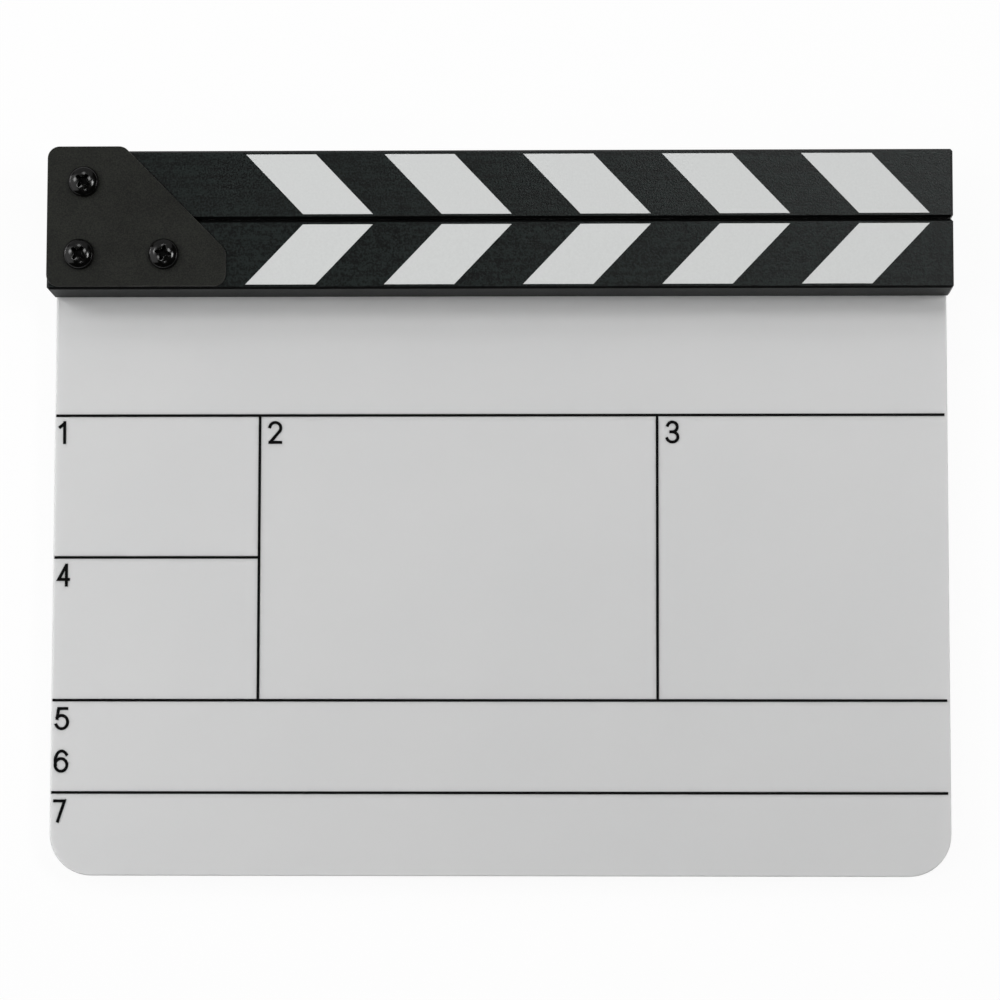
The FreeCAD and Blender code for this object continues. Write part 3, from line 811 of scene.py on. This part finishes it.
    def build(self) -> bpy.types.Mesh:
        """Makes the screw upright about the Z axis.

        Returns:
            Mesh of the head and the shank, in metres.
        """
        head = bmesh.new()
        self._add_head(head)
        blank = bpy.data.meshes.new("screw_blank")
        head.to_mesh(blank)
        head.free()
        cutter = self._recess_tool()
        for mesh in (blank, cutter):
            mesh.materials.append(None)
            mesh.materials.append(None)
        tool = loose_object("recess_tool", cutter)
        item = loose_object("screw_blank", blank)
        punch = item.modifiers.new("recess", "BOOLEAN")
        punch.operation = "DIFFERENCE"
        punch.solver = "EXACT"
        punch.object = tool
        rounding = item.modifiers.new("edges", "BEVEL")
        rounding.width = self.RECESS_BREAK
        rounding.segments = self.BREAK_STEPS
        rounding.material = 0
        rounding.limit_method = "ANGLE"
        rounding.angle_limit = math.radians(self.BREAK_ANGLE)
        shaped = baked_mesh(item)
        bpy.data.objects.remove(tool)
        whole = bmesh.new()
        whole.from_mesh(shaped)
        self._add_shank(whole)
        mesh = bpy.data.meshes.new("pan_screw")
        whole.to_mesh(mesh)
        whole.free()
        mesh.transform(Matrix.Scale(MM, 4))
        smooth_by_angle(mesh, self.SMOOTH_ANGLE)
        return mesh


@dataclass(frozen=True)
class ScrewSet:
    """Equal screws in a row, which stand for one CAD node."""

    piece: str
    node: str
    pattern: PanScrew
    facing: Facing
    turns: tuple[float, ...]

    def build(self, shop: PaintShop) -> None:
        """Places one screw at each end of the node and evenly between, and mounts them as a piece.

        Args:
            shop: Finishes to dress them in.
        """
        low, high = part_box(self.node)
        middle = (low + high) / 2
        radius = self.pattern.head_diameter / 2 * MM
        length = self.pattern.length * MM
        seat = low.z + length if self.facing is Facing.FRONT else high.z - length
        whole = bmesh.new()
        for index, turn in enumerate(self.turns):
            share = index / max(len(self.turns) - 1, 1)
            across = low.x + radius + share * (high.x - low.x - 2 * radius)
            mesh = self.pattern.build()
            place = Matrix.Translation((across, middle.y, seat))
            if self.facing is Facing.BACK:
                place = place @ Matrix.Rotation(math.pi, 4, "X")
            mesh.transform(place @ Matrix.Rotation(math.radians(turn), 4, "Z"))
            whole.from_mesh(mesh)
            bpy.data.meshes.remove(mesh)
        joined = bpy.data.meshes.new(self.piece)
        whole.to_mesh(joined)
        whole.free()
        smooth_by_angle(joined, self.pattern.SMOOTH_ANGLE)
        shop.mount(self.piece, joined, Slot.SCREW, Body.SLATE, stands_for=self.node)


@dataclass(frozen=True)
class PenRun:
    """Straight stretch of a pen line through its corners; in millimetres."""

    corners: tuple[Span, ...]

    def points(self) -> list[Vector]:
        """Lists the points that the pen passes."""
        return [Vector(corner) for corner in self.corners]


@dataclass(frozen=True)
class PenBow:
    """Round stretch of a pen line, part of an ellipse; in millimetres and degrees."""

    centre: Span
    reach: Span
    start: float
    end: float

    STEP = 9.0

    def points(self) -> list[Vector]:
        """Lists the points that the pen passes."""
        count = math.ceil(abs(self.end - self.start) / self.STEP)
        found = []
        for index in range(count + 1):
            angle = math.radians(self.start + (self.end - self.start) * index / count)
            found.append(Vector((
                self.centre[0] + self.reach[0] * math.cos(angle),
                self.centre[1] + self.reach[1] * math.sin(angle),
            )))
        return found


@dataclass(frozen=True)
class FormNumber:
    """One printed number of the form, placed by its upper left corner; in metres, its pen in millimetres."""

    digit: int
    left: float
    top: float

    PEN = 1.0
    PEN_HEIGHT = 6.7
    SAME_PLACE = 0.01
    LINES = {
        1: (
            (PenRun(((2.1, 0.0), (2.1, 6.7))),),
            (PenRun(((0.6, 5.25), (2.0, 6.45))),),
        ),
        2: (
            (PenBow((1.95, 4.85), (1.85, 1.85), 168.0, -36.0), PenRun(((0.5, 0.3),))),
            (PenRun(((0.2, 0.0), (3.8, 0.0))),),
        ),
        3: (
            (PenBow((1.9, 5.05), (1.65, 1.65), 160.0, -90.0), PenRun(((1.4, 3.4),))),
            (PenRun(((1.4, 3.4),)), PenBow((1.9, 1.7), (1.85, 1.7), 90.0, -160.0)),
        ),
        4: (
            (PenRun(((3.0, 0.0), (3.0, 6.7))),),
            (PenRun(((2.8, 6.4), (0.4, 1.9), (3.7, 1.9))),),
        ),
        5: (
            (PenRun(((3.5, 6.7), (0.8, 6.7), (0.35, 3.4))),),
            (PenBow((1.85, 2.2), (2.0, 2.2), 138.0, -155.0),),
        ),
        6: (
            (PenBow((1.95, 2.1), (1.95, 2.1), 0.0, 360.0),),
            (PenBow((2.15, 3.35), (2.15, 3.35), 200.0, 42.0),),
        ),
        7: (
            (PenRun(((0.2, 6.7), (3.5, 6.7), (1.3, 0.0))),),
        ),
    }

    def _apart(self, one: Vector, other: Vector) -> bool:
        """Tells whether two points of a pen line are in different places."""
        return (one - other).length > self.SAME_PLACE

    def _stroke(self, stretches: tuple[PenRun | PenBow, ...]) -> bpy.types.Object:
        """Draws one pen line as a flat bar of unit thickness.

        Args:
            stretches: Stretches of the line, in order.

        Returns:
            Helper object with a closed mesh.
        """
        path: list[Vector] = []
        for stretch in stretches:
            start = path[-1] if path else None
            path += [point for point in stretch.points() if start is None or self._apart(point, start)]
        ring = not self._apart(path[0], path[-1])
        if ring:
            path.pop()
        half = self.PEN / 2
        steps = list(zip(path, path[1:] + path[:1] if ring else path[1:]))
        ways = [(after - before).normalized() for before, after in steps]
        if not ring:
            path[0] = path[0] - half * ways[0]
            path[-1] = path[-1] + half * ways[-1]
            ways.append(ways[-1])
        bar = bmesh.new()
        sections = []
        for index, point in enumerate(path):
            before, after = ways[index - 1 if index or ring else 0], ways[index]
            middle = (before + after).normalized()
            side = Vector((-middle.y, middle.x)) * (half / middle.dot(after))
            corners = ((point + side, 1.0), (point - side, 1.0), (point - side, 0.0), (point + side, 0.0))
            sections.append([bar.verts.new((place.x, place.y, level)) for place, level in corners])
        joints = list(zip(sections, sections[1:] + sections[:1] if ring else sections[1:]))
        for near, far in joints:
            for edge in range(4):
                after = (edge + 1) % 4
                bar.faces.new((near[edge], far[edge], far[after], near[after]))
        if not ring:
            bar.faces.new(sections[0])
            bar.faces.new(list(reversed(sections[-1])))
        bmesh.ops.recalc_face_normals(bar, faces=bar.faces)
        mesh = bpy.data.meshes.new("pen_line")
        bar.to_mesh(mesh)
        bar.free()
        return loose_object("pen_line", mesh)

    def build(self, level: float, film: float) -> bpy.types.Mesh:
        """Makes the number as a thin film.

        Args:
            level: Level of the face that it is printed on.
            film: Thickness of the film.

        Returns:
            Closed mesh in the CAD frame.
        """
        first, *others = [self._stroke(line) for line in self.LINES[self.digit]]
        for other in others:
            join = first.modifiers.new("join", "BOOLEAN")
            join.operation = "UNION"
            join.solver = "EXACT"
            join.object = other
        mesh = baked_mesh(first)
        for other in others:
            bpy.data.objects.remove(other)
        left = min(vertex.co.x for vertex in mesh.vertices)
        mesh.transform(Matrix.Translation((-left, -self.PEN_HEIGHT - self.PEN / 2, 0.0)))
        mesh.transform(Matrix.Diagonal((MM, MM, film, 1.0)))
        mesh.transform(Matrix.Translation((self.left, self.top, level)))
        return mesh


@dataclass(frozen=True)
class WritingBoard:
    """Panel with its ruled form; sizes in millimetres."""

    left_column: float = 68.8
    right_column: float = 96.6
    notes_height: float = 30.6
    footer_height: float = 27.4
    edge_indent: float = 1.1
    column_indent: float = 2.65
    number_drop: float = 2.3
    second_line: float = 14.1

    def numbers(self) -> list[FormNumber]:
        """Places a number at the upper left of each box of the form, and a second one in the notes box.

        Returns:
            The numbers in reading order.
        """
        panel_low, panel_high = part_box("writing_panel")
        _, rules_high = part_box("form_rules")
        left = panel_low.x + self.edge_indent * MM
        middle = panel_low.x + (self.left_column + self.column_indent) * MM
        right = panel_high.x - (self.right_column - self.column_indent) * MM
        header = rules_high.y
        footer = panel_low.y + self.footer_height * MM
        notes = footer + self.notes_height * MM
        half_way = (header + notes) / 2
        corners = (
            (left, header), (middle, header), (right, header), (left, half_way),
            (left, notes), (left, notes - self.second_line * MM), (left, footer),
        )
        drop = self.number_drop * MM
        return [FormNumber(digit, x, y - drop) for digit, (x, y) in enumerate(corners, 1)]

    def build(self, shop: PaintShop) -> None:
        """Dresses the panel and its rules, and prints the numbers.

        Args:
            shop: Finishes to dress them in.
        """
        shop.dress("writing_panel", Slot.ACRYLIC)
        shop.dress("form_rules", Slot.BLACK_PRINT)
        rules_low, rules_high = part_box("form_rules")
        film = rules_high.z - rules_low.z
        for number in self.numbers():
            mesh = number.build(rules_low.z, film)
            shop.mount(f"form_number_{number.digit}", mesh, Slot.BLACK_PRINT, Body.SLATE)


@dataclass(frozen=True)
class Clapstick:
    """One stick with its printed stripes."""

    stick: str
    stripes: str
    lacquer: Lacquer

    def build(self, shop: PaintShop) -> None:
        """Dresses the stick in its lacquer and its stripes in ink."""
        shop.dress(self.stick, Slot.LACQUER, self.lacquer)
        shop.dress(self.stripes, Slot.WHITE_PRINT)


@dataclass(frozen=True)
class ClapHinge:
    """Two plates, the pivot on its sleeve and all the fasteners; sizes in millimetres."""

    hinge_screw: PanScrew = PanScrew(
        shank_diameter=5.0, length=30.0, tip_length=0.8, tip_diameter=3.8, pitch=0.8, thread_length=9.0,
        thread_depth=0.42, head_diameter=10.3, head_height=3.7, rim_height=0.9, recess_span=5.2,
        recess_wing=1.20, recess_depth=2.4,
    )
    panel_screw: PanScrew = PanScrew(
        shank_diameter=3.5, length=13.0, tip_length=2.4, tip_diameter=0.5, pitch=1.3, thread_length=10.0,
        thread_depth=0.55, head_diameter=7.0, head_height=2.5, rim_height=0.6, recess_span=4.0,
        recess_wing=1.0, recess_depth=1.6,
    )
    pivot_turn: float = 52.0
    plate_turns: tuple[float, ...] = (50.0, 76.0)
    panel_turns: tuple[float, ...] = (18.0, 64.0, 35.0, 80.0)

    def build(self, shop: PaintShop) -> None:
        """Dresses plates, sleeve, washers and nuts, and makes the screws.

        Args:
            shop: Finishes to dress them in.
        """
        for node in ("front_hinge_plate", "back_hinge_plate"):
            shop.dress(node, Slot.PLATE)
        for node in ("pivot_washer", "pivot_locknut", "plate_washers", "plate_nuts", "panel_washers"):
            shop.dress(node, Slot.SCREW)
        for node in ("front_friction_washer", "back_friction_washer", "locknut_insert"):
            shop.dress(node, Slot.NYLON)
        shop.dress("pivot_sleeve", Slot.STEEL)
        sets = (
            ScrewSet("pivot_pan_screw", "pivot_screw", self.hinge_screw, Facing.FRONT, (self.pivot_turn,)),
            ScrewSet("plate_pan_screws", "plate_screws", self.hinge_screw, Facing.FRONT, self.plate_turns),
            ScrewSet("panel_pan_screws", "panel_screws", self.panel_screw, Facing.BACK, self.panel_turns),
        )
        for screws in sets:
            screws.build(shop)


@dataclass(frozen=True)
class SoftBox:
    """Area lamp that looks at the middle of the board; power in watts, lengths and places in metres."""

    name: str
    place: Point
    power: float
    length: float
    width: float
    along: Point = (0.62, -0.78, 0.0)

    def build(self) -> None:
        """Hangs the lamp, turns it to the board and lays its length along a direction."""
        lamp = bpy.data.lights.new(self.name, "AREA")
        lamp.shape = "RECTANGLE"
        lamp.size = self.length
        lamp.size_y = self.width
        lamp.energy = self.power
        back = Vector(self.place).normalized()
        across = back.cross(Vector(self.along)).normalized()
        turn = Matrix((across.cross(back), across, back)).transposed().to_4x4()
        item = loose_object(self.name, lamp)
        item.matrix_world = Matrix.Translation(self.place) @ turn


@dataclass(frozen=True)
class Studio:
    """Pale floor, soft lamps and camera; in metres and degrees, apart from paper and lens in millimetres."""

    floor_half: float = 3.0
    floor_colour: Colour = (0.80, 0.80, 0.80)
    floor_glow: float = 0.94
    paper_size: float = 30.0
    paper_dim: float = 0.985
    sky: Colour = (1.0, 1.0, 1.0)
    sky_strength: float = 0.02
    camera_aim: Point = (0.00029, 0.00329, 0.020)
    camera_distance: float = 1.314
    camera_pitch: float = 5.987
    camera_yaw: float = 1.463
    camera_roll: float = 0.113
    camera_lens: float = 143.02
    camera_sensor: float = 36.0

    ACROSS = (1.0, 0.0, 0.0)
    UPWARDS = (0.0, 1.0, 0.0)
    UP_LEFT = (0.36, 0.93, 0.0)

    def boxes(self) -> tuple[SoftBox, ...]:
        """Lists the lamps."""
        return (
            SoftBox("left_card", (-1.10, 0.04, 0.69), 8.1, length=1.6, width=1.2, along=self.UPWARDS),
            SoftBox("top_card", (-0.19, 1.09, 0.69), 3.6, length=2.0, width=1.2, along=self.ACROSS),
            SoftBox("left_box", (-0.85, 0.40, 0.90), 2.5, length=0.27, width=0.27),
            SoftBox("top_box", (-0.21, 0.84, 0.97), 0.95, length=0.21, width=0.21),
            SoftBox("right_box", (0.69, 0.05, 1.10), 3.4, length=0.40, width=0.20, along=self.UPWARDS),
            SoftBox("far_right_box", (1.17, 0.27, 1.85), 7.0, length=0.50, width=0.50),
            SoftBox("inner_left_box", (-0.50, -0.07, 1.20), 2.2, length=0.28, width=0.28),
            SoftBox("inner_right_box", (0.24, 0.49, 1.18), 2.15, length=0.26, width=0.26),
            SoftBox("front_box", (-0.03, -0.59, 1.16), 0.6, length=0.15, width=0.15),
            SoftBox("low_left_box", (-1.21, 0.46, 0.09), 1.2, length=0.50, width=0.045, along=self.UP_LEFT),
            SoftBox("low_right_box", (1.27, 0.06, 0.16), 0.9, length=0.60, width=0.08, along=self.UPWARDS),
        )

    def light(self) -> None:
        """Hangs the lamps and gives the world an even dim sky."""
        for box in self.boxes():
            box.build()
        world = bpy.data.worlds.new("studio_sky")
        world.use_nodes = True
        sky = world.node_tree.nodes["Background"]
        sky.inputs["Color"].default_value = (*self.sky, 1.0)
        sky.inputs["Strength"].default_value = self.sky_strength
        bpy.context.scene.world = world

    def floor(self) -> None:
        """Lays a pale floor that looks white and still takes a soft shadow."""
        graph = ShaderGraph("studio_floor")
        paper = graph.noise(self.paper_size, detail=2.0)
        dimmed = tuple(self.paper_dim * part for part in self.floor_colour)
        graph.drive("Base Color", graph.shade(paper, self.floor_colour, dimmed))
        graph.fix(Roughness=0.9, Specular_IOR_Level=0.0)
        glow = graph.add("ShaderNodeEmission")
        path = graph.add("ShaderNodeLightPath")
        seen = graph.combine("MAXIMUM", path.outputs["Is Camera Ray"], path.outputs["Is Glossy Ray"])
        seen = graph.combine("MAXIMUM", seen, path.outputs["Is Transmission Ray"])
        share = graph.remap(seen, graph.UNIT, (0.0, self.floor_glow))
        mix = graph.add("ShaderNodeMixShader")
        graph.link(share, mix.inputs[0])
        graph.link(graph.shader.outputs["BSDF"], mix.inputs[1])
        graph.link(glow.outputs["Emission"], mix.inputs[2])
        graph.link(mix.outputs["Shader"], graph.output.inputs["Surface"])
        level = CAD_BOX[0].z
        half = self.floor_half
        mesh = bpy.data.meshes.new("studio_floor")
        corners = [(-half, -half, level), (half, -half, level), (half, half, level), (-half, half, level)]
        mesh.from_pydata(corners, [], [(0, 1, 2, 3)])
        mesh.materials.append(graph.material)
        loose_object("studio_floor", mesh)

    def camera(self) -> None:
        """Sets the camera at the angle of the view, above the board and a little below its middle."""
        pitch, yaw, roll = (math.radians(a) for a in (self.camera_pitch, self.camera_yaw, self.camera_roll))
        back = Vector((math.sin(yaw) * math.cos(pitch), -math.sin(pitch), math.cos(yaw) * math.cos(pitch)))
        right = Vector((0.0, 1.0, 0.0)).cross(back).normalized()
        up = back.cross(right)
        tilted_right = math.cos(roll) * right + math.sin(roll) * up
        tilted_up = math.cos(roll) * up - math.sin(roll) * right
        eye = Vector(self.camera_aim) + self.camera_distance * back
        lens = bpy.data.cameras.new("front_camera")
        lens.lens = self.camera_lens
        lens.sensor_fit = "HORIZONTAL"
        lens.sensor_width = self.camera_sensor
        item = loose_object("front_camera", lens)
        turn = Matrix((tilted_right, tilted_up, back)).transposed().to_4x4()
        item.matrix_world = Matrix.Translation(eye) @ turn
        bpy.context.scene.camera = item

    def build(self) -> None:
        """Sets up floor, light, camera and plain colours."""
        self.floor()
        self.light()
        self.camera()
        bpy.context.scene.view_settings.view_transform = "Standard"
        LOG.info("set up the studio")


def main() -> None:
    """Builds the sub-assemblies in order, then the studio."""
    logging.basicConfig(level=logging.INFO, format="%(name)s: %(message)s")
    shop = PaintShop()
    assemblies = (
        WritingBoard(),
        # One lacquer in two copies: the upper stick's has more shine, a painted sheen that makes it render
        # brighter than the lower.
        Clapstick("lower_stick", "lower_stripes", Lacquer("lower_stick_lacquer", shine=0.184)),
        Clapstick("upper_stick", "upper_stripes", Lacquer("upper_stick_lacquer", shine=0.212)),
        ClapHinge(),
    )
    for assembly in assemblies:
        assembly.build(shop)
    Studio().build()


if __name__ == "__main__":
    main()
